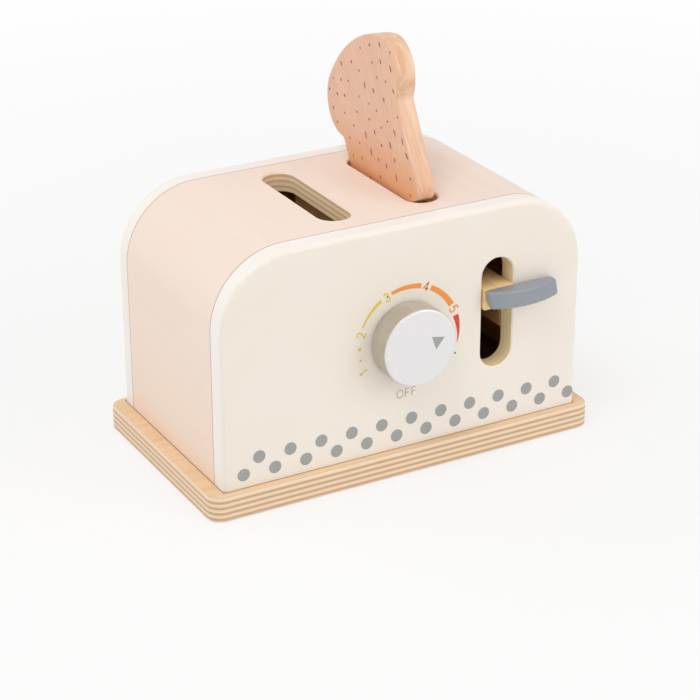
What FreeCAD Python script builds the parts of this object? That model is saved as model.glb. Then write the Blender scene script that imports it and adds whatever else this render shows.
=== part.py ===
import FreeCAD, Part
import math
import os

# Toy pop-up toaster of birch plywood with one slice of beech bread.
# Millimetres. Origin: bottom centre of the base board, +X right, -Y front, +Z up.

# Base board
base_length = 203.0
base_depth = 115.5
base_thickness = 12.5
base_corner_radius = 7.0
base_edge_radius = 1.6
base_lower_chamfer = 0.8

# Front and back panels, and the ply cover bent over between them
panel_width = 188.0
panel_height = 110.5
panel_thickness = 9.5
panel_corner_radius = 36.0
panel_edge_radius = 2.4
cover_thickness = 9.5
housing_depth = 107.5

# Two bread slots in the cover
slot_spacing = 45.4
slot_edge_chamfer = 0.7

# Lever slot in the front panel, longer than the lever's travel
lever_slot_offset = 48.4
lift_travel = 24.0
slot_below_lever = 6.7
slot_above_lever = 14.3
lever_side_gap = 0.7
lever_slot_edge_chamfer = 0.6

# Control knob, turning on a glued spindle
knob_height = 55.0
knob_diameter = 37.6
knob_reach = 12.5
knob_edge_radius = 1.2
spindle_diameter = 8.0
spindle_in_knob = 7.0
washer_diameter = 20.0
washer_thickness = 1.0
retainer_diameter = 18.0
retainer_thickness = 6.0

# Lift: a platform on two guide rods, carried up and down by the lever
platform_thickness = 8.7
platform_depth = 42.0
platform_past_slot = 4.3
platform_over_arm = 4.0
platform_edge_radius = 1.0
arm_thickness = 8.0
arm_height = 23.0
arm_depth = 70.0
arm_below_neck = 15.5
post_height = 29.6
post_thickness = 8.0
post_depth = 26.0
neck_width = 15.6
neck_thickness = 10.0
neck_length = 34.0

# Lever grip, a rounded paddle in front of the panel
grip_length = 36.8
grip_left_overhang = 0.6
grip_thickness = 8.8
grip_raise = 0.8
grip_end_depth = 3.6
grip_bulge = 4.4
grip_end_slant = 2.4
grip_edge_radius = 1.4
grip_panel_gap = 1.2
grip_dowel_diameter = 4.0
grip_dowel_length = 14.0
grip_dowel_spacing = 7.6

# Guide rods, the block that holds their tops, and the return springs
rod_diameter = 8.0
rod_spacing = 24.0
rod_seat_depth = 8.0
bridge_depth = 56.0
bridge_side_gap = 1.2
pad_thickness = 1.5
pad_diameter = 14.0
spring_wire = 1.2
spring_clearance = 0.5

# Cleats inside the cover's legs
cleat_size = 12.0
cleat_length = 64.0

# Dowels between panels and cover
dowel_diameter = 5.0
dowel_length = 16.0
leg_dowel_height = 32.0
top_dowel_offset = 45.0

# Screws up through the base into the panels
screw_offset = 60.0
screw_diameter = 3.5
screw_head_diameter = 8.0
screw_head_height = 3.0
screw_length = 36.0
screw_hole_clearance = 0.35

# Bread slice leaning in the right-hand slot
bread_thickness = 9.5
bread_body_height = 43.5
bread_half_width = 29.4
bread_crown_half_width = 37.8
bread_crown_height = 41.0
bread_ear_radius = 18.1
bread_top_radius = 63.0
bread_foot_radius = 6.0
bread_notch_radius = 4.0
bread_edge_radius = 0.8
bread_tilt = 34.2
bread_yaw = -1.5
bread_lean = 2.5
bread_side_gap = 3.25
bread_slot_room = 9.2
bread_rim_gap = 0.3
bread_rest_gap = 0.5

# Working clearances
running_gap = 0.4
end_gap = 0.3

# Places of the housing
deck = base_thickness
front_face = -housing_depth / 2
back_face = housing_depth / 2
front_inner = front_face + panel_thickness
back_inner = back_face - panel_thickness
cover_top = deck + panel_height
cover_underside = cover_top - cover_thickness
cover_inner_wall = panel_width / 2 - cover_thickness
slot_width = bread_thickness + 2 * bread_side_gap
slot_length = 2 * bread_half_width + bread_slot_room
bridge_width = slot_spacing - slot_width - 2 * bridge_side_gap


def bread_pose():
    """Notch line's middle (y, z) and the height of the lowest point of the foot.

    In its own plane the slice leans back until the rounded front foot stands on
    the slot's front rim and the rear side meets the slot's rear rim.
    """
    tilt = math.radians(bread_tilt)
    across = (math.cos(tilt), -math.sin(tilt))
    along = (math.sin(tilt), math.cos(tilt))
    radius = bread_foot_radius
    swing = slot_length / 2 * math.sin(math.radians(abs(bread_yaw)))
    half_span = bread_thickness / 2 + swing
    end_radius = slot_width / 2
    reach = slot_length / 2 - end_radius + math.sqrt(end_radius ** 2 - half_span ** 2)
    spare = 2 * reach * across[0] - 2 * bread_half_width + radius - bread_rim_gap
    touch = math.acos(spare / (radius + bread_rim_gap)) - tilt
    foot_y = -reach + (radius + bread_rim_gap) * math.cos(touch)
    foot_z = cover_top + (radius + bread_rim_gap) * math.sin(touch)
    side = bread_half_width - radius
    down = bread_body_height - radius
    notch_y = foot_y + side * across[0] + down * along[0]
    notch_z = foot_z + side * across[1] + down * along[1]
    rear_z = notch_z + side * across[1] - down * along[1]
    return notch_y, notch_z, rear_z - radius


# Places of the lift, under the slice's foot, and of the lever
platform_height = bread_pose()[2] - bread_rest_gap
platform_bottom = platform_height - platform_thickness
bridge_bottom = platform_height + pad_thickness + end_gap
arm_bottom = platform_bottom - post_height
neck_height = arm_bottom + arm_below_neck
neck_top = neck_height + neck_thickness
lever_slot_width = neck_width + 2 * lever_side_gap
lever_slot_low = neck_height - lift_travel - slot_below_lever
lever_slot_high = neck_top + slot_above_lever
neck_left = lever_slot_offset - neck_width / 2
neck_right = lever_slot_offset + neck_width / 2
grip_back = front_face - grip_panel_gap
neck_back = grip_back + neck_length
arm_left = neck_right
platform_left_end = -(slot_spacing / 2 + slot_width / 2 + platform_past_slot)
platform_right_end = arm_left + platform_over_arm
knob_centre_height = deck + knob_height

os.makedirs("parts", exist_ok=True)


def vec(x, y, z):
    return FreeCAD.Vector(x, y, z)


def block(x0, x1, y0, y1, z0, z1):
    return Part.makeBox(x1 - x0, y1 - y0, z1 - z0, vec(x0, y0, z0))


def rod_z(diameter, x, y, z0, z1):
    return Part.makeCylinder(diameter / 2, z1 - z0, vec(x, y, z0), vec(0, 0, 1))


def rod_y(diameter, x, z, y0, y1):
    return Part.makeCylinder(diameter / 2, y1 - y0, vec(x, y0, z), vec(0, 1, 0))


def edges_where(shape, test):
    return [edge for edge in shape.Edges if test(edge.BoundBox, edge)]


def is_flat_at(box, axis, value):
    low = getattr(box, axis + "Min")
    high = getattr(box, axis + "Max")
    return abs(low - value) < 0.01 and abs(high - value) < 0.01


def face_of(edges):
    return Part.Face(Part.Wire(Part.__sortEdges__(edges)))


def arch_face(half_width, bottom, top, corner, y):
    """Arch outline in the plane of one Y: square feet and round top corners."""
    left = -half_width
    right = half_width
    diagonal = corner * (1 - math.sqrt(0.5))
    edges = [
        Part.makeLine(vec(left, y, bottom), vec(right, y, bottom)),
        Part.makeLine(vec(right, y, bottom), vec(right, y, top - corner)),
        Part.Arc(
            vec(right, y, top - corner),
            vec(right - diagonal, y, top - diagonal),
            vec(right - corner, y, top),
        ).toShape(),
        Part.makeLine(vec(right - corner, y, top), vec(left + corner, y, top)),
        Part.Arc(
            vec(left + corner, y, top),
            vec(left + diagonal, y, top - diagonal),
            vec(left, y, top - corner),
        ).toShape(),
        Part.makeLine(vec(left, y, top - corner), vec(left, y, bottom)),
    ]
    return face_of(edges)


def stadium_through_cover(centre_x):
    """Cutter for one bread slot: a long hole with half-round ends, along Y."""
    half = slot_length / 2 - slot_width / 2
    height = cover_thickness + 4
    low = cover_underside - 2
    x0 = centre_x - slot_width / 2
    middle = Part.makeBox(slot_width, 2 * half, height, vec(x0, -half, low))
    cutter = middle
    for y in (-half, half):
        cutter = cutter.fuse(rod_z(slot_width, centre_x, y, low, low + height))
    return cutter.removeSplitter()


def lever_slot_cutter():
    """Cutter for the upright lever slot with half-round ends."""
    radius = lever_slot_width / 2
    low = lever_slot_low + radius
    high = lever_slot_high - radius
    y0 = front_face - 2
    y1 = front_inner + 2
    x0 = lever_slot_offset - radius
    cutter = block(x0, x0 + lever_slot_width, y0, y1, low, high)
    for z in (low, high):
        cutter = cutter.fuse(rod_y(lever_slot_width, lever_slot_offset, z, y0, y1))
    return cutter.removeSplitter()


def screw_places():
    inset = housing_depth / 2 - panel_thickness / 2
    return [(x, y) for x in (-screw_offset, screw_offset) for y in (-inset, inset)]


def rod_places():
    return [-rod_spacing / 2, rod_spacing / 2]


def dowel_places():
    """X and Z of the dowels that locate one panel on the cover's end."""
    leg = panel_width / 2 - cover_thickness / 2
    top = cover_top - cover_thickness / 2
    low = deck + leg_dowel_height
    return [(-leg, low), (leg, low), (-top_dowel_offset, top), (top_dowel_offset, top)]


def make_base_board():
    x = base_length / 2
    y = base_depth / 2
    board = block(-x, x, -y, y, 0, base_thickness)
    upright = edges_where(board, lambda b, e: b.ZLength > base_thickness - 0.01)
    board = board.makeFillet(base_corner_radius, upright)
    upper = edges_where(board, lambda b, e: is_flat_at(b, "Z", base_thickness))
    board = board.makeFillet(base_edge_radius, upper)
    lower = edges_where(board, lambda b, e: is_flat_at(b, "Z", 0))
    board = board.makeChamfer(base_lower_chamfer, lower)
    for rod_y_place in rod_places():
        seat = deck - rod_seat_depth
        board = board.cut(rod_z(rod_diameter, 0, rod_y_place, seat, deck + 1))
    hole = screw_diameter + 2 * screw_hole_clearance
    head = screw_head_diameter + 2 * screw_hole_clearance
    for sx, sy in screw_places():
        board = board.cut(rod_z(hole, sx, sy, -1, deck + 1))
        sink = Part.makeCone(head / 2, hole / 2, screw_head_height, vec(sx, sy, 0))
        board = board.cut(sink)
    return board


def panel_blank(outer_y, inner_y):
    low = min(outer_y, inner_y)
    face = arch_face(panel_width / 2, deck, cover_top, panel_corner_radius, low)
    panel = face.extrude(vec(0, panel_thickness, 0))
    rim = edges_where(
        panel,
        lambda b, e: is_flat_at(b, "Y", outer_y) and not is_flat_at(b, "Z", deck),
    )
    panel = panel.makeFillet(panel_edge_radius, rim)
    for sx, sy in screw_places():
        if sy * outer_y > 0:
            tip = screw_length - base_thickness
            panel = panel.cut(rod_z(screw_diameter, sx, sy, deck - 1, deck + tip))
    return panel


def drill_dowels(shape, inner_y):
    half = dowel_length / 2
    for dx, dz in dowel_places():
        shape = shape.cut(rod_y(dowel_diameter, dx, dz, inner_y - half, inner_y + half))
    return shape


def make_front_panel():
    panel = drill_dowels(panel_blank(front_face, front_inner), front_inner)
    panel = panel.cut(lever_slot_cutter())
    radius = lever_slot_width / 2
    rim = edges_where(
        panel,
        lambda b, e: is_flat_at(b, "Y", front_face)
        and b.XMin > lever_slot_offset - radius - 0.1
        and b.XMax < lever_slot_offset + radius + 0.1,
    )
    panel = panel.makeChamfer(lever_slot_edge_chamfer, rim)
    bore = spindle_diameter + 2 * running_gap
    return panel.cut(rod_y(bore, 0, knob_centre_height, front_face - 1, front_inner + 1))


def make_back_panel():
    return drill_dowels(panel_blank(back_face, back_inner), back_inner)


def make_bent_cover():
    """One ply sheet bent into an upside-down U, with the two bread slots."""
    outer = arch_face(panel_width / 2, deck, cover_top, panel_corner_radius, front_inner)
    inner_radius = panel_corner_radius - cover_thickness
    inner = arch_face(cover_inner_wall, deck - 1, cover_underside, inner_radius, front_inner)
    run = vec(0, back_inner - front_inner, 0)
    cover = outer.extrude(run).cut(inner.extrude(run))
    for side in (-1, 1):
        cover = cover.cut(stadium_through_cover(side * slot_spacing / 2))
    rims = edges_where(
        cover,
        lambda b, e: is_flat_at(b, "Z", cover_top) and b.YMin > front_inner + 1
        and b.YMax < back_inner - 1,
    )
    cover = cover.makeChamfer(slot_edge_chamfer, rims)
    cover = drill_dowels(cover, front_inner)
    return drill_dowels(cover, back_inner)


def make_panel_dowels():
    half = dowel_length / 2
    pins = []
    for inner_y in (front_inner, back_inner):
        for dx, dz in dowel_places():
            pins.append(rod_y(dowel_diameter, dx, dz, inner_y - half, inner_y + half))
    return Part.makeCompound(pins)


def make_base_screws():
    screws = []
    for sx, sy in screw_places():
        head = Part.makeCone(
            screw_head_diameter / 2, screw_diameter / 2, screw_head_height, vec(sx, sy, 0)
        )
        point = screw_diameter
        neck = screw_length - point
        shank = rod_z(screw_diameter, sx, sy, 0, neck)
        tip = Part.makeCone(screw_diameter / 2, 0.3, point, vec(sx, sy, neck))
        screws.append(head.fuse([shank, tip]).removeSplitter())
    return Part.makeCompound(screws)


def make_cleat(side):
    """Glue block in the corner between the base and one leg of the cover."""
    wall = side * cover_inner_wall
    low = min(wall, wall - side * cleat_size)
    half = cleat_length / 2
    cleat = block(low, low + cleat_size, -half, half, deck, deck + cleat_size)
    free = edges_where(
        cleat,
        lambda b, e: b.YLength > 1 and abs(b.ZMin - deck - cleat_size) < 0.01
        and abs(b.XMin - (wall - side * cleat_size)) < 0.01,
    )
    return cleat.makeChamfer(cleat_size / 3, free)


def make_guide_bridge():
    """Block glued under the cover between the slots; it holds the rod tops."""
    half_x = bridge_width / 2
    half_y = bridge_depth / 2
    bridge = block(-half_x, half_x, -half_y, half_y, bridge_bottom, cover_underside)
    for y in rod_places():
        bridge = bridge.cut(rod_z(rod_diameter, 0, y, bridge_bottom - 1, rod_top()))
    return bridge


def rod_top():
    return bridge_bottom + rod_seat_depth


def make_guide_rod(y):
    return rod_z(rod_diameter, 0, y, deck - rod_seat_depth, rod_top())


def make_return_spring(y):
    """Compression spring round one rod, from the deck to the platform."""
    inner = rod_diameter + 2 * spring_clearance
    outer = inner + 2 * spring_wire
    tube = rod_z(outer, 0, y, deck, platform_bottom)
    return tube.cut(rod_z(inner, 0, y, deck - 1, platform_bottom + 1))


def make_lift_platform():
    half = platform_depth / 2
    board = block(
        platform_left_end, platform_right_end, -half, half, platform_bottom, platform_height
    )
    upper = edges_where(board, lambda b, e: is_flat_at(b, "Z", platform_height))
    board = board.makeFillet(platform_edge_radius, upper)
    hole = rod_diameter + 2 * running_gap
    for y in rod_places():
        board = board.cut(rod_z(hole, 0, y, platform_bottom - 1, platform_height + 1))
    return board


def make_stop_pads():
    """Felt rings on the platform that meet the bridge when the lift is up."""
    pads = []
    for y in rod_places():
        top = platform_height + pad_thickness
        pad = rod_z(pad_diameter, 0, y, platform_height, top)
        hole = rod_diameter + 2 * running_gap
        pads.append(pad.cut(rod_z(hole, 0, y, platform_height - 1, top + 1)))
    return Part.makeCompound(pads)


def make_lift_arm():
    """Upright board beside the lever slot, running back behind the panel."""
    front = front_inner + 2 * end_gap
    right = arm_left + arm_thickness
    top = arm_bottom + arm_height
    return block(arm_left, right, front, front + arm_depth, arm_bottom, top)


def make_lift_post():
    """Block glued to the arm that carries the platform's right end."""
    half = post_depth / 2
    left = arm_left - post_thickness
    return block(left, arm_left, -half, half, arm_bottom, platform_bottom)


def make_lever_neck():
    neck = block(neck_left, neck_right, grip_back, neck_back, neck_height, neck_top)
    return drill_grip_dowels(neck)


def grip_dowel_tools():
    z = neck_height + neck_thickness / 2
    half = grip_dowel_length / 2
    back = grip_back + grip_dowel_length - grip_end_depth
    front = back - grip_dowel_length
    tools = []
    for side in (-1, 1):
        x = lever_slot_offset + side * grip_dowel_spacing / 2
        tools.append(rod_y(grip_dowel_diameter, x, z, front, front + 2 * half))
    return tools


def drill_grip_dowels(shape):
    for tool in grip_dowel_tools():
        shape = shape.cut(tool)
    return shape


def make_grip_dowels():
    return Part.makeCompound(grip_dowel_tools())


def make_lever_grip():
    """Paddle bowed in plan, with slanted ends and rounded edges."""
    left = neck_left - grip_left_overhang
    right = left + grip_length
    low = neck_height + neck_thickness / 2 - grip_thickness / 2 + grip_raise
    high = low + grip_thickness
    slant = grip_end_slant
    end_y = grip_back - grip_end_depth
    bow = vec((left + right) / 2 - grip_length / 8, end_y - grip_bulge, low)
    plan = face_of([
        Part.makeLine(vec(left, grip_back, low), vec(right + slant, grip_back, low)),
        Part.makeLine(vec(right + slant, grip_back, low), vec(right + slant, end_y, low)),
        Part.Arc(vec(right + slant, end_y, low), bow, vec(left, end_y, low)).toShape(),
        Part.makeLine(vec(left, end_y, low), vec(left, grip_back, low)),
    ])
    bowed = plan.extrude(vec(0, 0, grip_thickness))
    far = end_y - grip_bulge - 2
    corners = [
        vec(left, far, high),
        vec(right, far, high),
        vec(right + slant, far, low),
        vec(left + slant, far, low),
    ]
    front_view = Part.Face(Part.makePolygon(corners + [corners[0]]))
    paddle = bowed.common(front_view.extrude(vec(0, grip_back - far, 0)))
    paddle = paddle.makeFillet(grip_edge_radius, paddle.Edges)
    return drill_grip_dowels(paddle)


def make_knob():
    front = front_face - knob_reach
    back = front_face - end_gap - washer_thickness
    knob = rod_y(knob_diameter, 0, knob_centre_height, front, back)
    rim = edges_where(knob, lambda b, e: is_flat_at(b, "Y", front))
    knob = knob.makeFillet(knob_edge_radius, rim)
    socket = back - spindle_in_knob
    return knob.cut(rod_y(spindle_diameter, 0, knob_centre_height, socket, back + 1))


def make_knob_washer():
    back = front_face - end_gap
    front = back - washer_thickness
    ring = rod_y(washer_diameter, 0, knob_centre_height, front, back)
    return ring.cut(rod_y(spindle_diameter, 0, knob_centre_height, front - 1, back + 1))


def make_knob_spindle():
    front = front_face - end_gap - washer_thickness - spindle_in_knob
    back = front_inner + end_gap + retainer_thickness
    return rod_y(spindle_diameter, 0, knob_centre_height, front, back)


def make_knob_retainer():
    front = front_inner + end_gap
    back = front + retainer_thickness
    ring = rod_y(retainer_diameter, 0, knob_centre_height, front, back)
    return ring.cut(rod_y(spindle_diameter, 0, knob_centre_height, front - 1, back + 1))


def bread_outline():
    """Half-slice geometry: the ear circle's centre, and where its arcs meet."""
    ear_x = bread_crown_half_width - bread_ear_radius
    top_centre = bread_crown_height - bread_top_radius
    reach = bread_top_radius - bread_ear_radius
    ear_z = top_centre + math.sqrt(reach ** 2 - ear_x ** 2)
    inset = bread_half_width - ear_x
    notch_z = ear_z - math.sqrt(bread_ear_radius ** 2 - inset ** 2)
    scale = bread_top_radius / reach
    meet = (ear_x * scale, top_centre + (ear_z - top_centre) * scale)
    return ear_x, ear_z, notch_z, meet


def make_toast_slice():
    """Slice upright about its notch line, then leaned back in its own plane."""
    ear_x, ear_z, notch_z, meet = bread_outline()
    x = -bread_thickness / 2
    foot = -bread_body_height
    outer = (ear_x + bread_ear_radius, ear_z)
    edges = [
        Part.makeLine(
            vec(x, -bread_half_width, foot), vec(x, bread_half_width, foot)
        )
    ]
    for side in (-1, 1):
        notch = vec(x, side * bread_half_width, notch_z)
        edges.append(Part.makeLine(vec(x, side * bread_half_width, foot), notch))
        tip = vec(x, side * outer[0], outer[1])
        join = vec(x, side * meet[0], meet[1])
        edges.append(Part.Arc(notch, tip, join).toShape())
    crown = vec(x, 0, bread_crown_height)
    left_join = vec(x, -meet[0], meet[1])
    right_join = vec(x, meet[0], meet[1])
    edges.append(Part.Arc(left_join, crown, right_join).toShape())
    slice_body = face_of(edges).extrude(vec(bread_thickness, 0, 0))
    feet = edges_where(
        slice_body, lambda b, e: b.XLength > bread_thickness - 0.01 and b.ZMax < foot + 0.01
    )
    slice_body = slice_body.makeFillet(bread_foot_radius, feet)
    notches = edges_where(
        slice_body,
        lambda b, e: b.XLength > bread_thickness - 0.01
        and abs(b.ZMax - notch_z) < 0.01 and abs(b.ZMin - notch_z) < 0.01,
    )
    slice_body = slice_body.makeFillet(bread_notch_radius, notches)
    faces = edges_where(
        slice_body,
        lambda b, e: is_flat_at(b, "X", x) or is_flat_at(b, "X", -x),
    )
    slice_body = slice_body.makeFillet(bread_edge_radius, faces)
    slice_body.rotate(vec(0, 0, 0), vec(1, 0, 0), -bread_tilt)
    slice_body.rotate(vec(0, 0, 0), vec(0, 1, 0), bread_lean)
    slice_body.rotate(vec(0, 0, 0), vec(0, 0, 1), bread_yaw)
    notch_y, notch_height, _ = bread_pose()
    slice_body.translate(vec(slot_spacing / 2, notch_y, notch_height))
    return slice_body


def export(name, shape):
    shape.exportStep("parts/" + name + ".step")


export("base_board", make_base_board())
export("front_panel", make_front_panel())
export("back_panel", make_back_panel())
export("bent_cover", make_bent_cover())
export("panel_dowels", make_panel_dowels())
export("base_screws", make_base_screws())
export("cleat_left", make_cleat(-1))
export("cleat_right", make_cleat(1))
export("guide_bridge", make_guide_bridge())
export("guide_rod_front", make_guide_rod(rod_places()[0]))
export("guide_rod_rear", make_guide_rod(rod_places()[1]))
export("return_spring_front", make_return_spring(rod_places()[0]))
export("return_spring_rear", make_return_spring(rod_places()[1]))
export("lift_platform", make_lift_platform())
export("stop_pads", make_stop_pads())
export("lift_arm", make_lift_arm())
export("lift_post", make_lift_post())
export("lever_neck", make_lever_neck())
export("grip_dowels", make_grip_dowels())
export("lever_grip", make_lever_grip())
export("knob", make_knob())
export("knob_washer", make_knob_washer())
export("knob_spindle", make_knob_spindle())
export("knob_retainer", make_knob_retainer())
export("toast_slice", make_toast_slice())
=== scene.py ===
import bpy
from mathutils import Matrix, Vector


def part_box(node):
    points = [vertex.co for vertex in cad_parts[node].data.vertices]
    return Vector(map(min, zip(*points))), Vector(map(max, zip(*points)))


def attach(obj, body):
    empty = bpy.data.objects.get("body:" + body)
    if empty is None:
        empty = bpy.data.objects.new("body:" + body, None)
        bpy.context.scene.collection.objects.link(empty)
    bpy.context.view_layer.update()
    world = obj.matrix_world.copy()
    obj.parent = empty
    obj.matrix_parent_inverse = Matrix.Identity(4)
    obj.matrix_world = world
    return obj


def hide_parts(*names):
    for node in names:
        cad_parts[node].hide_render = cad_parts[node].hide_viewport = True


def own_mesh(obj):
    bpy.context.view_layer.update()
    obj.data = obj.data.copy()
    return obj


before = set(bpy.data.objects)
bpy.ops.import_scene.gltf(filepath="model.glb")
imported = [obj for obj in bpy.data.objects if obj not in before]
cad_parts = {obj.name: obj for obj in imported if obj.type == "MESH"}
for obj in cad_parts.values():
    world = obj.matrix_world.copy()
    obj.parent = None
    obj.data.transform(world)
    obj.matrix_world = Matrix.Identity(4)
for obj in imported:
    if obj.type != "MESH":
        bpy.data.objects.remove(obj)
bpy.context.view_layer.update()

import math
import random

import bpy
from mathutils import Matrix, Vector
from mathutils.bvhtree import BVHTree

# Sizes in metres, in the frame of the CAD model
MM = 0.001

panel_low, panel_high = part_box("front_panel")
cover_low, cover_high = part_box("bent_cover")
base_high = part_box("base_board")[1]
knob_low, knob_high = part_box("knob")

face_y = panel_low[1]
deck_z = base_high[2]
knob_face_y = knob_low[1]
knob_x = (knob_low[0] + knob_high[0]) / 2
knob_z = (knob_low[2] + knob_high[2]) / 2

# Bent cover: outer corner radius and thickness of its ply
cover_corner_radius = 36.0 * MM
cover_thickness = 9.5 * MM

# Slot that the lever runs in
lever_slot_x = 48.4 * MM
lever_slot_z = 69.8 * MM
lever_slot_half_width = 8.5 * MM
lever_slot_half_height = 27.5 * MM

# Bread slice: its middle at the notches, its thickness and how it leans
slice_middle = Vector((22.7, 11.69, 146.44)) * MM
slice_thickness = 9.5 * MM
slice_tilt = math.radians(34.2)
slice_lean = math.radians(2.5)
slice_yaw = math.radians(-1.5)

# Printed marks lie this far above the surface that carries them
print_lift = 0.05 * MM

# Width of the fine dark line where two boards meet
seam_width = 0.3 * MM


def rgb(red, green, blue):
    """Turn a colour as seen on screen, 0 to 255, into linear light."""
    out = []
    for value in (red, green, blue):
        c = value / 255.0
        out.append(c / 12.92 if c <= 0.04045 else ((c + 0.055) / 1.055) ** 2.4)
    return (*out, 1.0)


def darker(colour, share):
    return tuple(share * c for c in colour[:3]) + (1.0,)


def along(axis, rate):
    """Scale that draws a pattern out along one axis, the more the lower the rate."""
    return tuple(rate if name == axis else 1.0 for name in "XYZ")


class Surface:
    """A material in the making, with short ways to add to its node tree."""

    def __init__(self, name):
        self.material = bpy.data.materials.new(name)
        self.material.use_nodes = True
        self.nodes = self.material.node_tree.nodes
        self.links = self.material.node_tree.links
        self.shader = self.nodes["Principled BSDF"]
        self.coords = self.nodes.new("ShaderNodeTexCoord")

    def feed(self, socket, value):
        if isinstance(value, bpy.types.NodeSocket):
            self.links.new(value, socket)
        else:
            socket.default_value = value

    def moved(self, vector, scale=(1.0, 1.0, 1.0), turn=(0.0, 0.0, 0.0), offset=(0.0, 0.0, 0.0)):
        node = self.nodes.new("ShaderNodeMapping")
        node.inputs["Location"].default_value = offset
        node.inputs["Rotation"].default_value = turn
        node.inputs["Scale"].default_value = scale
        self.links.new(vector, node.inputs["Vector"])
        return node.outputs["Vector"]

    def space(self, scale=(1.0, 1.0, 1.0), turn=None, offset=(0.0, 0.0, 0.0)):
        """Object coordinates, turned first and then stretched."""
        vector = self.coords.outputs["Object"]
        if turn:
            vector = self.moved(vector, turn=turn)
        return self.moved(vector, scale=scale, offset=offset)

    def maths(self, operation, first, second=0.0):
        node = self.nodes.new("ShaderNodeMath")
        node.operation = operation
        self.feed(node.inputs[0], first)
        self.feed(node.inputs[1], second)
        return node.outputs[0]

    def times(self, value, share):
        return self.maths("MULTIPLY", value, share)

    def both(self, first, second):
        """Where two masks overlap."""
        return self.maths("MULTIPLY", first, second)

    def either(self, first, second):
        """Where at least one of two masks lies."""
        return self.maths("MAXIMUM", first, second)

    def diagonal(self, first, second):
        """Length of the slanting side over two square ones."""
        squares = self.maths("MULTIPLY", first, first), self.maths("MULTIPLY", second, second)
        return self.maths("SQRT", self.maths("ADD", *squares))

    def mix(self, factor, first, second):
        node = self.nodes.new("ShaderNodeMix")
        node.data_type = "RGBA"
        self.feed(node.inputs[0], factor)
        self.feed(node.inputs[6], first)
        self.feed(node.inputs[7], second)
        return node.outputs[2]

    def noise(self, vector, scale, detail=4.0, roughness=0.55, distortion=0.0):
        node = self.nodes.new("ShaderNodeTexNoise")
        node.inputs["Scale"].default_value = scale
        node.inputs["Detail"].default_value = detail
        node.inputs["Roughness"].default_value = roughness
        node.inputs["Distortion"].default_value = distortion
        self.links.new(vector, node.inputs["Vector"])
        return node.outputs["Fac"]

    def ramp(self, value, stops):
        node = self.nodes.new("ShaderNodeValToRGB")
        band = node.color_ramp
        while len(band.elements) > 1:
            band.elements.remove(band.elements[-1])
        band.elements[0].position = stops[0][0]
        band.elements[0].color = stops[0][1]
        for position, colour in stops[1:]:
            band.elements.new(position).color = colour
        self.links.new(value, node.inputs["Fac"])
        return node.outputs["Color"]

    def mask(self, value, zero_at, one_at):
        """A soft mask that runs from 0 at one value to 1 at the other."""
        node = self.nodes.new("ShaderNodeMapRange")
        node.inputs["From Min"].default_value = zero_at
        node.inputs["From Max"].default_value = one_at
        self.links.new(value, node.inputs["Value"])
        return node.outputs["Result"]

    def place(self, axis):
        """Where the point lies along one axis of the object, in metres."""
        node = self.nodes.new("ShaderNodeSeparateXYZ")
        self.links.new(self.coords.outputs["Object"], node.inputs["Vector"])
        return node.outputs[axis]

    def facing(self, axis):
        """How squarely the surface faces along one axis of the object, 0 to 1."""
        node = self.nodes.new("ShaderNodeSeparateXYZ")
        self.links.new(self.coords.outputs["Normal"], node.inputs["Vector"])
        return self.maths("ABSOLUTE", node.outputs[axis])

    def distance_from(self, value, target):
        return self.maths("ABSOLUTE", self.maths("SUBTRACT", value, target))

    def from_middle(self, axis):
        """How far the point lies from the middle of the object along one axis."""
        return self.distance_from(self.place(axis), 0.0)

    def colour(self, value):
        self.links.new(value, self.shader.inputs["Base Color"])

    def roughness(self, value, first, last):
        """Roughness that follows a pattern, from its low values to its high ones."""
        stops = [(0.25, (first, first, first, 1.0)), (0.75, (last, last, last, 1.0))]
        grey = self.ramp(value, stops)
        self.links.new(grey, self.shader.inputs["Roughness"])

    def bump(self, height, strength, depth):
        node = self.nodes.new("ShaderNodeBump")
        node.inputs["Strength"].default_value = strength
        node.inputs["Distance"].default_value = depth
        self.links.new(height, node.inputs["Height"])
        self.links.new(node.outputs["Normal"], self.shader.inputs["Normal"])


# Lacquers, inks, felt and steel


def lacquer(surface, colour, shade, gloss):
    """Sprayed lacquer on wood: even, with a faint grain showing through."""
    broad = surface.noise(surface.space(), scale=14.0, detail=3.0)
    fine = surface.noise(surface.space(offset=(0.3, 0.1, 0.7)), scale=900.0, detail=2.0)
    tone = surface.ramp(broad, [(0.3, shade), (0.72, colour)])
    tone = surface.mix(surface.times(fine, 0.08), tone, shade)
    surface.roughness(broad, first=gloss + 0.06, last=gloss - 0.04)
    ribs = surface.noise(surface.space(along("Z", 0.08)), scale=420.0, detail=3.0)
    peel = surface.noise(surface.space(), scale=700.0, detail=2.0)
    surface.bump(surface.mix(0.35, ribs, peel), strength=0.25, depth=0.08 * MM)
    surface.shader.inputs["Specular IOR Level"].default_value = 0.4
    return tone


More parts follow.
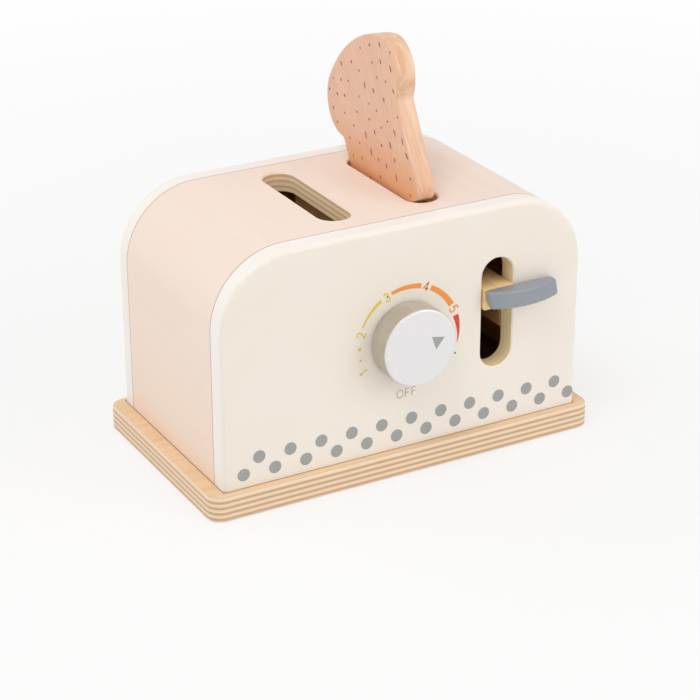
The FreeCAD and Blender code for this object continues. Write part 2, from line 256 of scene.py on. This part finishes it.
def panel_material(name, inner_y, slotted):
    """Cream lacquer outside, its rim lightened as a painted highlight; bare ply inside, darkened as
    painted shade, and in the lever's slot.
    """
    rim_highlight_low = rgb(245, 239, 231)
    rim_highlight_high = rgb(248, 243, 237)
    seam_tone = rgb(176, 156, 134)
    shaded_bare_low = rgb(214, 148, 98)
    shaded_bare_high = rgb(232, 170, 118)
    surface = Surface(name)
    tone = lacquer(surface, colour=rgb(244, 236, 227), shade=rgb(241, 232, 219), gloss=0.4)
    # Painted highlight: the rounded rim a little whiter than the face.
    rim_highlight_noise = surface.noise(surface.space(offset=(0.5, 0.2, 0.1)), scale=40.0, detail=3.0)
    rim = surface.mask(surface.facing("Y"), zero_at=0.9, one_at=0.3)
    tone = surface.mix(rim, tone, surface.ramp(rim_highlight_noise, [(0.3, rim_highlight_low), (0.7, rim_highlight_high)]))

    inner_depth = abs(inner_y)
    depth = surface.from_middle("Y")
    at_cover = surface.mask(
        surface.distance_from(depth, inner_depth), zero_at=seam_width, one_at=0.4 * seam_width
    )
    at_base = surface.mask(
        surface.place("Z"), zero_at=deck_z + seam_width, one_at=deck_z + 0.4 * seam_width
    )
    tone = surface.mix(surface.either(at_cover, at_base), tone, seam_tone)

    # Bare ply on the inner side, darkened as painted shade.
    margin = 0.05 * MM
    inside = surface.mask(depth, zero_at=inner_depth + margin, one_at=inner_depth - margin)
    flat = surface.mask(surface.facing("Y"), zero_at=0.7, one_at=0.9)
    ply_face = surface.noise(surface.space(along("X", 0.08)), scale=260.0, detail=5.0)
    bare = surface.ramp(ply_face, [(0.35, shaded_bare_low), (0.65, shaded_bare_high)])
    tone = surface.mix(surface.both(inside, flat), tone, bare)
    if slotted:
        tone = surface.mix(slot_wall_mask(surface), tone, slot_wall_plies(surface, inner_y))
    surface.colour(tone)
    return surface.material


def slot_wall_plies(surface, inner_y):
    """Layers of the front panel, from its face to its inner side."""
    behind_face = surface.maths("SUBTRACT", surface.place("Y"), face_y)
    level = surface.maths("DIVIDE", behind_face, inner_y - face_y)
    return soft_plies(surface, level, count=3.5, pale=rgb(255, 240, 200), dark=rgb(252, 232, 188))


def slot_wall_mask(surface):
    """1 on the walls of the lever's slot, 0 elsewhere."""
    margin = 0.4 * MM
    across = surface.distance_from(surface.place("X"), lever_slot_x)
    up = surface.distance_from(surface.place("Z"), lever_slot_z)
    near_x = surface.maths("LESS_THAN", across, lever_slot_half_width + margin)
    near_z = surface.maths("LESS_THAN", up, lever_slot_half_height + margin)
    wall = surface.mask(surface.facing("Y"), zero_at=0.85, one_at=0.4)
    return surface.both(surface.both(near_x, near_z), wall)


def plain_lacquer(name, colour, shade, gloss):
    surface = Surface(name)
    surface.colour(lacquer(surface, colour, shade, gloss))
    return surface.material


def knob_material():
    """Silver paint: bright on the face; round the side a darker beige, a painted reflection of the cream
    panel.
    """
    surface = Surface("silver lacquer")
    flakes = surface.noise(surface.space(), scale=1500.0, detail=2.0)
    cloud = surface.noise(surface.space(offset=(0.1, 0.4, 0.2)), scale=90.0, roughness=0.6)
    face = surface.ramp(flakes, [(0.3, rgb(230, 228, 228)), (0.7, rgb(234, 233, 234))])
    # Painted reflection: the side in the beige of the cream panel beside it.
    side = surface.ramp(cloud, [(0.3, rgb(178, 171, 156)), (0.7, rgb(197, 190, 177))])
    front = surface.mask(surface.facing("Y"), zero_at=0.3, one_at=0.9)
    surface.colour(surface.mix(front, side, face))
    surface.roughness(cloud, first=0.36, last=0.28)
    surface.shader.inputs["Metallic"].default_value = 0.25
    rings = surface.noise(surface.space(along("Y", 0.05)), scale=600.0, detail=2.0)
    surface.bump(rings, strength=0.08, depth=0.05 * MM)
    return surface.material


def felt_material():
    """Grey felt with loose fibres."""
    surface = Surface("grey felt")
    fibres = surface.noise(surface.space(), scale=1800.0, detail=5.0, roughness=0.7)
    surface.colour(surface.ramp(fibres, [(0.3, rgb(92, 88, 84)), (0.7, rgb(138, 133, 127))]))
    surface.shader.inputs["Roughness"].default_value = 0.95
    surface.bump(fibres, strength=0.6, depth=0.2 * MM)
    return surface.material


def steel_material():
    """Plated steel with a slight haze."""
    surface = Surface("zinc-plated steel")
    haze = surface.noise(surface.space(), scale=500.0, detail=3.0)
    surface.colour(surface.ramp(haze, [(0.3, rgb(168, 168, 166)), (0.7, rgb(205, 205, 203))]))
    surface.shader.inputs["Metallic"].default_value = 1.0
    surface.roughness(haze, first=0.42, last=0.28)
    surface.bump(haze, strength=0.1, depth=0.05 * MM)
    return surface.material


def ink_material(name, colour, low_share=0.92):
    """Screen-printed ink: matt, with a slightly uneven lay."""
    surface = Surface(name)
    lay = surface.noise(surface.space(), scale=1100.0, detail=3.0)
    surface.colour(surface.ramp(lay, [(0.3, darker(colour, low_share)), (0.7, colour)]))
    surface.shader.inputs["Roughness"].default_value = 0.5
    surface.bump(lay, strength=0.1, depth=0.02 * MM)
    return surface.material


# Woods


def soft_plies(surface, level, count, pale, dark):
    """Edge of plywood: pale and darker plies with soft borders, by height 0 to 1."""
    waver = 0.02
    wobble = surface.noise(surface.space(offset=(0.0, 0.0, 0.31)), scale=12.0, detail=2.0)
    moved = surface.maths("ADD", level, surface.times(wobble, waver))
    turns = surface.maths("FRACT", surface.times(moved, count))
    glue = darker(dark, 0.92)
    stops = [(0.0, pale), (0.3, pale), (0.5, dark), (0.68, glue), (0.74, dark), (0.95, pale)]
    tone = surface.ramp(turns, stops)
    pores = surface.noise(surface.space(), scale=800.0, detail=3.0)
    return surface.mix(surface.times(pores, 0.2), tone, dark)


def long_grain(surface, space, scale, low, high, spread=0.15):
    """Tone and relief of wood cut along the grain; a wide spread makes it fainter."""
    lines = surface.noise(space, scale, detail=6.0, roughness=0.65, distortion=0.4)
    return surface.ramp(lines, [(0.5 - spread, low), (0.5 + spread, high)]), lines


def base_material():
    """Thick birch ply: layers round the edge, long grain on top and below."""
    contact_tone = rgb(178, 142, 108)
    surface = Surface("birch ply, thick")
    level = surface.maths("DIVIDE", surface.place("Z"), deck_z)
    layers = soft_plies(surface, level, count=4.5, pale=rgb(243, 219, 190), dark=rgb(206, 170, 132))
    grain = surface.space(along("X", 0.06))
    face, lines = long_grain(surface, grain, 260.0, low=rgb(229, 192, 150), high=rgb(239, 207, 170))
    level_face = surface.mask(surface.facing("Z"), zero_at=0.75, one_at=0.95)
    tone = surface.mix(level_face, layers, face)
    contact = surface.both(level_face, contact_line_mask(surface))
    surface.colour(surface.mix(contact, tone, contact_tone))
    surface.shader.inputs["Roughness"].default_value = 0.48
    surface.bump(lines, strength=0.25, depth=0.1 * MM)
    return surface.material


def contact_line_mask(surface):
    """1 in the fine line where the housing stands on the base board."""
    half_line = 0.35 * MM
    across = surface.maths("SUBTRACT", surface.from_middle("X"), panel_high[0])
    back = surface.maths("SUBTRACT", surface.from_middle("Y"), -face_y)
    off_edge = surface.distance_from(surface.maths("MAXIMUM", across, back), 0.0)
    return surface.maths("LESS_THAN", off_edge, half_line)


def cover_depth(surface):
    """How deep the point lies in the cover's ply: 0 at its outside, 1 at its inside."""
    past_side = surface.maths("SUBTRACT", surface.from_middle("X"), cover_high[0] - cover_corner_radius)
    past_top = surface.maths("SUBTRACT", surface.place("Z"), cover_high[2] - cover_corner_radius)
    side = surface.maths("MAXIMUM", past_side, 0.0)
    top = surface.maths("MAXIMUM", past_top, 0.0)
    left_over = surface.maths("SUBTRACT", cover_corner_radius, surface.diagonal(side, top))
    return surface.maths("DIVIDE", left_over, cover_thickness)


def cover_material():
    """Bent birch ply under a pale lacquer; its slots show the layers. Painted bounce light near its
    foot, painted shade on its bare inside.
    """
    broad_tone = rgb(243, 218, 200)
    foot_bounce_tone = rgb(246, 217, 194)
    pore_tone = rgb(214, 178, 150)
    seam_tone = rgb(178, 148, 122)
    bounce_below = 70 * MM
    surface = Surface("birch ply, bent")
    grain = surface.space(along("Y", 0.06))
    face, lines = long_grain(
        surface, grain, 130.0, low=rgb(243, 225, 212), high=rgb(246, 230, 218), spread=0.25
    )
    broad = surface.noise(surface.space(offset=(0.2, 0.0, 0.4)), scale=16.0, detail=2.0)
    face = surface.mix(surface.times(broad, 0.35), face, broad_tone)
    # Painted bounce light, stronger towards the foot of the cover.
    foot = surface.mask(surface.place("Z"), zero_at=bounce_below, one_at=deck_z)
    face = surface.mix(surface.times(foot, 0.6), face, foot_bounce_tone)
    pore_space = surface.space(along("Y", 0.12), offset=(0.6, 0.1, 0.2))
    pores = surface.mask(surface.noise(pore_space, scale=900.0, detail=2.0), zero_at=0.62, one_at=0.72)
    face = surface.mix(surface.times(pores, 0.06), face, pore_tone)

    depth = cover_depth(surface)
    layers = soft_plies(surface, depth, count=3.5, pale=rgb(255, 236, 204), dark=rgb(232, 200, 158))
    below_face = surface.mask(depth, zero_at=0.03, one_at=0.06)
    upright = surface.mask(surface.facing("Z"), zero_at=0.9, one_at=0.6)
    tone = surface.mix(surface.both(below_face, upright), face, layers)
    # Bare ply on the inside, darkened as painted shade.
    bare_grain = surface.space(along("Y", 0.08))
    bare, _ = long_grain(surface, bare_grain, 200.0, low=rgb(216, 152, 102), high=rgb(234, 176, 124))
    tone = surface.mix(surface.mask(depth, zero_at=0.97, one_at=0.99), tone, bare)

    to_panel = surface.distance_from(surface.from_middle("Y"), cover_high[1])
    to_base = surface.distance_from(surface.place("Z"), cover_low[2])
    nearest = surface.maths("MINIMUM", to_panel, to_base)
    seam = surface.mask(nearest, zero_at=1.3 * seam_width, one_at=0.6 * seam_width)
    surface.colour(surface.mix(seam, tone, seam_tone))
    surface.shader.inputs["Roughness"].default_value = 0.5
    surface.shader.inputs["Specular IOR Level"].default_value = 0.3
    surface.bump(lines, strength=0.12, depth=0.08 * MM)
    return surface.material


def wood_material(name, low, high, stretch, scale):
    """Plain wood: long grain with short dark pores."""
    surface = Surface(name)
    tone, lines = long_grain(surface, surface.space(stretch), scale, low, high)
    tight = tuple(3.0 * s for s in stretch)
    pores = surface.noise(surface.space(tight, offset=(0.2, 0.5, 0.1)), scale * 2.2, detail=2.0)
    pits = surface.times(surface.mask(pores, zero_at=0.62, one_at=0.72), 0.5)
    surface.colour(surface.mix(pits, tone, darker(low, 0.72)))
    surface.shader.inputs["Roughness"].default_value = 0.5
    surface.bump(lines, strength=0.3, depth=0.1 * MM)
    return surface.material


def bread_material():
    """Beech cut along the grain: fine flecks on the faces, paler sawn edges, and painted bounce light
    low on the faces.
    """
    slice_bounce_tone = rgb(228, 158, 106)
    fleck_tone = rgb(200, 146, 112)
    broad_tone = rgb(216, 164, 132)
    surface = Surface("beech, slice")
    turn = (slice_tilt, 0.0, 0.0)
    grain = surface.space(along("Z", 0.07), turn)
    face, lines = long_grain(
        surface, grain, 420.0, low=rgb(231, 184, 155), high=rgb(238, 196, 170), spread=0.2
    )
    edge, _ = long_grain(
        surface, grain, 260.0, low=rgb(224, 174, 138), high=rgb(240, 204, 176), spread=0.14
    )
    on_face = surface.mask(surface.facing("X"), zero_at=0.6, one_at=0.95)
    tone = surface.mix(on_face, edge, face)

    # Painted bounce light on the lower part of both faces.
    slice_bounce_from = slice_middle[2] - 3 * MM
    slice_bounce_to = slice_middle[2] - 22 * MM
    slice_bounce = surface.both(surface.mask(surface.place("Z"), zero_at=slice_bounce_from, one_at=slice_bounce_to), on_face)
    tone = surface.mix(surface.times(slice_bounce, 0.9), tone, slice_bounce_tone)
    fleck_space = surface.space(along("Z", 0.16), turn, (0.3, 0.2, 0.5))
    flecks = surface.mask(surface.noise(fleck_space, scale=1500.0, detail=1.0), zero_at=0.6, one_at=0.7)
    tone = surface.mix(surface.times(flecks, 0.26), tone, fleck_tone)
    broad_space = surface.space(along("Z", 0.2), turn, (0.1, 0.6, 0.3))
    broad = surface.mask(surface.noise(broad_space, scale=60.0, detail=3.0), zero_at=0.4, one_at=0.8)
    surface.colour(surface.mix(surface.times(broad, 0.3), tone, broad_tone))
    surface.shader.inputs["Roughness"].default_value = 0.5
    surface.bump(lines, strength=0.3, depth=0.1 * MM)
    return surface.material


inner_y = cover_low[1]
cream_front = panel_material("cream lacquer, front", inner_y, slotted=True)
cream_back = panel_material("cream lacquer, back", inner_y, slotted=False)
grey_paint = plain_lacquer("grey lacquer", rgb(152, 158, 165), rgb(142, 147, 154), gloss=0.28)
silver_paint = knob_material()
ply_base = base_material()
ply_cover = cover_material()
bread_wood = bread_material()
beech = wood_material("beech", rgb(246, 208, 146), rgb(255, 230, 180), along("Y", 0.08), 320.0)
# Painted shade: the parts inside the housing get woods darker than their own.
beech_painted_shade = wood_material(
    "beech, inner", rgb(150, 112, 76), rgb(176, 136, 96), along("Y", 0.08), 320.0
)
ply_painted_shade = wood_material("inner ply", rgb(120, 88, 58), rgb(144, 108, 74), along("X", 0.1), 260.0)
pine = wood_material("pine", rgb(132, 98, 62), rgb(156, 118, 78), along("Y", 0.08), 180.0)
felt = felt_material()
steel = steel_material()
grey_ink = ink_material("grey ink", rgb(163, 165, 163))
brown_ink = ink_material("brown ink", rgb(168, 86, 60), low_share=0.85)

node_materials = {
    "base_board": ply_base,
    "front_panel": cream_front,
    "back_panel": cream_back,
    "bent_cover": ply_cover,
    "panel_dowels": beech,
    "base_screws": steel,
    "cleat_left": pine,
    "cleat_right": pine,
    "guide_bridge": pine,
    "guide_rod_front": beech_painted_shade,
    "guide_rod_rear": beech_painted_shade,
    "return_spring_front": steel,
    "return_spring_rear": steel,
    "lift_platform": ply_painted_shade,
    "stop_pads": felt,
    "lift_arm": beech_painted_shade,
    "lift_post": pine,
    "lever_neck": beech,
    "grip_dowels": beech,
    "lever_grip": grey_paint,
    "knob": silver_paint,
    "knob_washer": felt,
    "knob_spindle": beech,
    "knob_retainer": beech_painted_shade,
    "toast_slice": bread_wood,
}
for node_name, material in node_materials.items():
    node_object = bpy.data.objects[node_name]
    node_object.data.materials.clear()
    node_object.data.materials.append(material)


# Printed marks, each a list of points and a list of faces in a flat (u, v)


def circle(u, v, radius, steps=36):
    turn = 2 * math.pi / steps
    points = [(u + radius * math.cos(i * turn), v + radius * math.sin(i * turn)) for i in range(steps)]
    return points, [tuple(range(steps))]


def strip(left, right):
    """Quads between two lines of points."""
    count = len(left)
    faces = [(i, count + i, count + i + 1, i + 1) for i in range(count - 1)]
    return left + right, faces


def stroke(points, width):
    """A pen line of even width along points, mitred at the corners."""
    longest_mitre = 1.6
    last = len(points) - 1
    left = []
    right = []
    for i, (u, v) in enumerate(points):
        before = points[i - 1] if i > 0 else None
        after = points[i + 1] if i < last else None
        normals = []
        for a, b in ((before, (u, v)), ((u, v), after)):
            if a is not None and b is not None:
                length = math.dist(a, b)
                normals.append((-(b[1] - a[1]) / length, (b[0] - a[0]) / length))
        sum_u = sum(n[0] for n in normals)
        sum_v = sum(n[1] for n in normals)
        size = math.hypot(sum_u, sum_v)
        reach = width / 2 * min(longest_mitre, len(normals) / size)
        left.append((u + reach * sum_u / size, v + reach * sum_v / size))
        right.append((u - reach * sum_u / size, v - reach * sum_v / size))
    return strip(left, right)


def arc_band(start, end, inner, outer):
    """Band of a ring, angles in degrees clockwise from the top, radii at both ends."""
    steps = 24
    left = []
    right = []
    for i in range(steps + 1):
        share = i / steps
        angle = math.radians(start + share * (end - start))
        low = inner[0] + share * (inner[1] - inner[0])
        high = outer[0] + share * (outer[1] - outer[0])
        left.append((low * math.sin(angle), low * math.cos(angle)))
        right.append((high * math.sin(angle), high * math.cos(angle)))
    return strip(left, right)


def oval_points(middle_u, middle_v, half_u, half_v, start=0.0, end=360.0):
    """Points on an oval, angles in degrees anticlockwise from the right."""
    steps = 20
    out = []
    for i in range(steps + 1):
        angle = math.radians(start + (end - start) * i / steps)
        out.append((middle_u + half_u * math.cos(angle), middle_v + half_v * math.sin(angle)))
    return out


# Characters as pen lines in a box one unit high
character_lines = {
    "1": [[(0.05, 0.76), (0.34, 1.0), (0.34, 0.0)]],
    "2": [oval_points(0.3, 0.72, 0.26, 0.28, 165, -35) + [(0.04, 0.0), (0.6, 0.0)]],
    "3": [
        oval_points(0.29, 0.76, 0.24, 0.24, 150, -90),
        oval_points(0.29, 0.26, 0.29, 0.26, 90, -150),
    ],
    "4": [[(0.44, 1.0), (0.02, 0.3), (0.64, 0.3)], [(0.44, 1.0), (0.44, 0.0)]],
    "5": [
        [(0.54, 1.0), (0.1, 1.0), (0.07, 0.56)] + oval_points(0.28, 0.31, 0.29, 0.31, 125, -150),
    ],
    "O": [oval_points(0.4, 0.5, 0.4, 0.5)],
    "F": [[(0.0, 0.0), (0.0, 1.0), (0.48, 1.0)], [(0.0, 0.52), (0.42, 0.52)]],
}
digit_middle = 0.32


def character(name, height, pen):
    """Strokes of one character, its foot on v = 0."""
    marks = []
    for line in character_lines[name]:
        marks.append(stroke([(height * u, height * v) for u, v in line], pen))
    return marks


def turned(mark, angle, radius):
    """Stand a mark on a circle, at an angle in degrees clockwise from the top."""
    turn = math.radians(angle)
    points = []
    for u, v in mark[0]:
        r = radius + v
        points.append((u * math.cos(turn) + r * math.sin(turn), r * math.cos(turn) - u * math.sin(turn)))
    return points, mark[1]


def shifted(mark, by_u, by_v):
    return [(u + by_u, v + by_v) for u, v in mark[0]], mark[1]


def printed_piece(name, marks, place, material, body):
    """One thin mesh of many marks, laid on a surface by the function place."""
    vertices = []
    faces = []
    for points, mark_faces in marks:
        first = len(vertices)
        vertices.extend(place(u, v) for u, v in points)
        faces.extend(tuple(first + i for i in face) for face in mark_faces)
    mesh = bpy.data.meshes.new(name)
    mesh.from_pydata(vertices, [], faces)
    mesh.materials.append(material)
    piece = bpy.data.objects.new(name, mesh)
    bpy.context.collection.objects.link(piece)
    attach(piece, body)
    return piece


def on_panel(u, v):
    """A point of the front panel's face: u from the middle, v above the base."""
    return (u, face_y - print_lift, deck_z + v)


def make_dot_border():
    """Two rows of printed dots along the foot of the front panel, half a pitch apart."""
    pitch = 15.8 * MM
    radius = 3.1 * MM
    low_row = 6.74 * MM
    high_row = 14.0 * MM
    low_count = 12
    first = panel_low[0] + 10.04 * MM
    dots = [circle(first + i * pitch, low_row, radius) for i in range(low_count)]
    dots += [circle(first + (i + 0.5) * pitch, high_row, radius) for i in range(low_count - 1)]
    printed_piece("dot_border", dots, on_panel, grey_ink, "housing")


def make_dial_scale():
    """Heat scale round the knob: numbers 1 to 5, bands that widen, and OFF, in millimetres."""
    middle_x = knob_x + 0.9 * MM
    middle_z = knob_z - 0.7 * MM

    def on_dial(u, v):
        return (middle_x + u * MM, face_y - print_lift, middle_z + v * MM)

    digit_height = 4.2
    digit_pen = 0.75
    digit_foot = 23.8
    digit_angles = {"1": -115.3, "2": -73.2, "3": -26.3, "4": 20.5, "5": 67.2}
    digits = {}
    for name, angle in digit_angles.items():
        strokes = character(name, digit_height, digit_pen)
        centred = [shifted(m, -digit_height * digit_middle, 0.0) for m in strokes]
        digits[name] = [turned(m, angle, digit_foot) for m in centred]

    dot_ring = 25.5
    small_dots = {-101.4: 0.62, -88.6: 0.85}
    yellow_marks = digits["1"] + digits["2"] + digits["3"]
    yellow_marks.append(arc_band(-65.6, -33.1, inner=(25.9, 25.5), outer=(26.7, 27.2)))
    for angle, radius in small_dots.items():
        yellow_marks.append(turned(circle(0.0, 0.0, radius), angle, dot_ring))
    orange_marks = digits["4"] + digits["5"]
    orange_marks.append(arc_band(-20.4, 14.2, inner=(25.3, 24.7), outer=(27.0, 27.2)))
    orange_marks.append(arc_band(26.3, 61.4, inner=(24.6, 24.2), outer=(27.1, 27.2)))
    red_marks = [arc_band(74.9, 105.7, inner=(24.2, 26.9), outer=(27.3, 27.1))]
    end_dot_radius = 0.5
    end_dot_angle = 116.5
    end_dot_ring = 28.0
    end_dot = [turned(circle(0.0, 0.0, end_dot_radius), end_dot_angle, end_dot_ring)]
    yellow = ink_material("yellow ink", rgb(234, 208, 74))
    orange = ink_material("orange ink", rgb(250, 156, 62))
    red = ink_material("red ink", rgb(226, 66, 46))
    beige = ink_material("beige ink", rgb(186, 172, 150))
    printed_piece("scale_yellow", yellow_marks, on_dial, yellow, "housing")
    printed_piece("scale_orange", orange_marks, on_dial, orange, "housing")
    printed_piece("scale_red", red_marks, on_dial, red, "housing")
    printed_piece("scale_end_dot", end_dot, on_dial, brown_ink, "housing")

    letter_height = 4.1
    letter_pen = 0.42
    letter_foot = -28.7
    letter_places = (("O", -5.9), ("F", -1.3), ("F", 2.1))
    letters = []
    for name, left in letter_places:
        letters += [shifted(m, left, letter_foot) for m in character(name, letter_height, letter_pen)]
    printed_piece("off_mark", letters, on_dial, beige, "housing")


def make_knob_pointer():
    """Printed arrowhead on the knob's face, near its rim, in millimetres from its middle."""

    def on_knob(u, v):
        return (knob_x + u * MM, knob_face_y - print_lift, knob_z + v * MM)

    corners = [(5.72, 4.4), (8.04, -2.2), (12.4, 3.1)]
    printed_piece("knob_pointer", [(corners, [(0, 1, 2)])], on_knob, grey_ink, "dial")


def speck(u, v, width, length, lean):
    """A small oval dash, its long side turned by lean from the grain."""
    steps = 14
    points = []
    for x, y in circle(0.0, 0.0, 1.0, steps)[0]:
        across = width * x
        forward = length * y
        points.append((
            u + across * math.cos(lean) - forward * math.sin(lean),
            v + across * math.sin(lean) + forward * math.cos(lean),
        ))
    return points, [tuple(range(steps))]


def make_bread_specks():
    """Short dashes printed along the grain on both faces of the slice, in millimetres."""
    rng = random.Random(7)
    node = bpy.data.objects["toast_slice"]
    corners = [v.co.copy() for v in node.data.vertices]
    tree = BVHTree.FromPolygons(corners, [tuple(p.vertices) for p in node.data.polygons])
    turn = Matrix.Rotation(slice_yaw, 3, "Z") @ Matrix.Rotation(slice_lean, 3, "Y")
    turn = turn @ Matrix.Rotation(-slice_tilt, 3, "X")
    face_depth = slice_thickness / 2
    ray_start = 5 * MM
    tries = 6000
    spread_across = 36.0
    spread_up = 42.0
    lengths = (0.6, 0.65, 0.75, 0.9, 1.3, 1.9)
    least_width = 0.45
    greatest_width = 0.62
    greatest_lean = 12
    least_gap = 7.2
    edge_room = 1.4
    for side, name in ((-1, "bread_specks_left"), (1, "bread_specks_right")):
        outward = turn @ Vector((side, 0.0, 0.0))

        def on_slice(u, v):
            local = Vector((side * (face_depth + print_lift), u * MM, v * MM))
            return tuple(slice_middle + turn @ local)

        def on_face(u, v):
            start = Vector(on_slice(u, v)) + outward * ray_start
            hit = tree.ray_cast(start, -outward)[0]
            return hit is not None and (hit - start).length < ray_start + 3 * print_lift

        chosen = []
        marks = []
        for _ in range(tries):
            u = rng.uniform(-spread_across, spread_across)
            v = rng.uniform(-spread_up, spread_up)
            length = rng.choice(lengths)
            width = rng.uniform(least_width, greatest_width)
            if any(math.dist((u, v), other) < least_gap for other in chosen):
                continue
            reach = length + edge_room
            around = [(u, v + reach), (u, v - reach), (u - edge_room, v), (u + edge_room, v)]
            if not all(on_face(*point) for point in around):
                continue
            chosen.append((u, v))
            lean = math.radians(rng.uniform(-greatest_lean, greatest_lean))
            marks.append(speck(u, v, width, length, lean))
        printed_piece(name, marks, on_slice, brown_ink, "toast")


# Wound springs in the place of the plain ones


def coil_mesh(name, middle, bottom, top, coil_radius, wire):
    """A wire of round section, wound up from bottom to top round an upright line."""
    turns = 15
    steps_a_turn = 20
    sides = 8
    count = turns * steps_a_turn
    vertices = []
    faces = []
    for i in range(count + 1):
        angle = 2 * math.pi * i / steps_a_turn
        outward = Vector((math.cos(angle), math.sin(angle), 0.0))
        height = bottom + (top - bottom) * i / count
        centre = Vector((middle[0], middle[1], height)) + outward * coil_radius
        for k in range(sides):
            around = 2 * math.pi * k / sides
            offset = outward * math.cos(around) + Vector((0.0, 0.0, math.sin(around)))
            vertices.append(centre + offset * wire / 2)
    for i in range(count):
        for k in range(sides):
            after = (k + 1) % sides
            a = i * sides
            b = a + sides
            faces.append((a + k, b + k, b + after, a + after))
    faces.append(tuple(reversed(range(sides))))
    faces.append(tuple(count * sides + k for k in range(sides)))
    mesh = bpy.data.meshes.new(name)
    mesh.from_pydata(vertices, [], faces)
    mesh.shade_smooth()
    return mesh


def make_coil_spring(node, name):
    """Wound wire spring in the place of a plain one."""
    low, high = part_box(node)
    wire = 1.2 * MM
    middle_x = (low[0] + high[0]) / 2
    middle_y = (low[1] + high[1]) / 2
    coil_radius = (high[0] - low[0]) / 2 - wire / 2
    bottom = low[2] + wire / 2
    top = high[2] - wire / 2
    mesh = coil_mesh(name, (middle_x, middle_y), bottom, top, coil_radius, wire)
    mesh.materials.append(steel)
    piece = bpy.data.objects.new(name, mesh)
    bpy.context.collection.objects.link(piece)
    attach(piece, "housing")
    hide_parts(node)
    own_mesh(piece)


make_dot_border()
make_dial_scale()
make_knob_pointer()
make_bread_specks()
make_coil_spring("return_spring_front", "coil_spring_front")
make_coil_spring("return_spring_rear", "coil_spring_rear")


# Camera at the photograph's angle


def make_camera():
    azimuth = math.radians(-29.1129)
    elevation = math.radians(24.9893)
    roll = math.radians(-0.088)
    place = (-0.47174, -0.84778, 0.49203)
    lens_mm = 115.088
    sensor_mm = 36.0
    farthest = 60.0
    back = Vector((
        math.sin(azimuth) * math.cos(elevation),
        -math.cos(azimuth) * math.cos(elevation),
        math.sin(elevation),
    ))
    right = (-back).cross(Vector((0, 0, 1))).normalized()
    up = right.cross(-back)
    side = right * math.cos(roll) + up * math.sin(roll)
    over = -right * math.sin(roll) + up * math.cos(roll)
    camera_data = bpy.data.cameras.new("camera")
    camera_data.sensor_fit = "HORIZONTAL"
    camera_data.sensor_width = sensor_mm
    camera_data.lens = lens_mm
    camera_data.clip_end = farthest
    camera = bpy.data.objects.new("camera", camera_data)
    bpy.context.collection.objects.link(camera)
    turn = Matrix((side, over, back)).transposed().to_4x4()
    camera.matrix_world = Matrix.Translation(place) @ turn
    bpy.context.scene.camera = camera


# Floor, lights and backdrop


def make_area_light(name, place, size, watts, colour=(1.0, 1.0, 1.0)):
    """A square lamp that points at the middle of the object."""
    target = Vector((0.0, 0.0, 0.08))
    data = bpy.data.lights.new(name, "AREA")
    data.shape = "SQUARE"
    data.size = size
    data.energy = watts
    data.color = colour
    lamp = bpy.data.objects.new(name, data)
    bpy.context.collection.objects.link(lamp)
    lamp.location = place
    aim = target - Vector(place)
    lamp.rotation_euler = aim.to_track_quat("-Z", "Y").to_euler()


def seen_directly(nodes, links):
    """1 for camera rays and for rays that were mirrored or went through, else 0."""
    path = nodes.new("ShaderNodeLightPath")
    either = nodes.new("ShaderNodeMath")
    either.operation = "ADD"
    links.new(path.outputs["Is Camera Ray"], either.inputs[0])
    links.new(path.outputs["Is Glossy Ray"], either.inputs[1])
    seen = nodes.new("ShaderNodeMath")
    seen.operation = "ADD"
    seen.use_clamp = True
    links.new(either.outputs[0], seen.inputs[0])
    links.new(path.outputs["Is Transmission Ray"], seen.inputs[1])
    return seen.outputs[0]


def make_world():
    """White where the camera or a reflection sees it, softer as a light."""
    as_light = 0.6
    as_seen = 1.0
    world = bpy.data.worlds.new("studio")
    bpy.context.scene.world = world
    world.use_nodes = True
    nodes = world.node_tree.nodes
    links = world.node_tree.links
    background = nodes["Background"]
    background.inputs["Color"].default_value = (1.0, 1.0, 1.0, 1.0)
    strength = nodes.new("ShaderNodeMix")
    strength.data_type = "FLOAT"
    links.new(seen_directly(nodes, links), strength.inputs[0])
    strength.inputs[2].default_value = as_light
    strength.inputs[3].default_value = as_seen
    links.new(strength.outputs[0], background.inputs["Strength"])


def floor_material():
    """Pale, and seen nearly white: wholly so far off, less near the object, for its shadow."""
    pale = 0.9
    near = 0.2
    far = 0.8
    near_share = 0.6
    surface = Surface("studio floor")
    surface.shader.inputs["Base Color"].default_value = (pale, pale, pale, 1.0)
    surface.shader.inputs["Roughness"].default_value = 0.7
    seen = seen_directly(surface.nodes, surface.links)
    glow = surface.nodes.new("ShaderNodeEmission")
    blend = surface.nodes.new("ShaderNodeMixShader")
    away = surface.diagonal(surface.place("X"), surface.place("Y"))
    more = surface.times(surface.mask(away, zero_at=near, one_at=far), 1.0 - near_share)
    share = surface.maths("ADD", more, near_share)
    surface.links.new(surface.times(seen, share), blend.inputs[0])
    surface.links.new(surface.shader.outputs[0], blend.inputs[1])
    surface.links.new(glow.outputs[0], blend.inputs[2])
    surface.links.new(blend.outputs[0], surface.nodes["Material Output"].inputs["Surface"])
    return surface.material


def make_floor():
    """A wide floor just below the object's underside."""
    half = 15.0
    level = -0.1 * MM
    mesh = bpy.data.meshes.new("floor")
    corners = [(-half, -half, level), (half, -half, level), (half, half, level), (-half, half, level)]
    mesh.from_pydata(corners, [], [(0, 1, 2, 3)])
    floor = bpy.data.objects.new("floor", mesh)
    bpy.context.collection.objects.link(floor)
    mesh.materials.append(floor_material())


make_camera()
make_world()
make_floor()
make_area_light("key light", (-0.7, -0.45, 1.5), size=0.9, watts=8.8, colour=(1.0, 0.98, 0.95))
make_area_light("fill light", (0.9, -1.1, 0.7), size=1.0, watts=5.8)
make_area_light("back light", (-1.1, 1.1, 0.9), size=1.0, watts=3.4)
bpy.context.scene.view_settings.view_transform = "Standard"
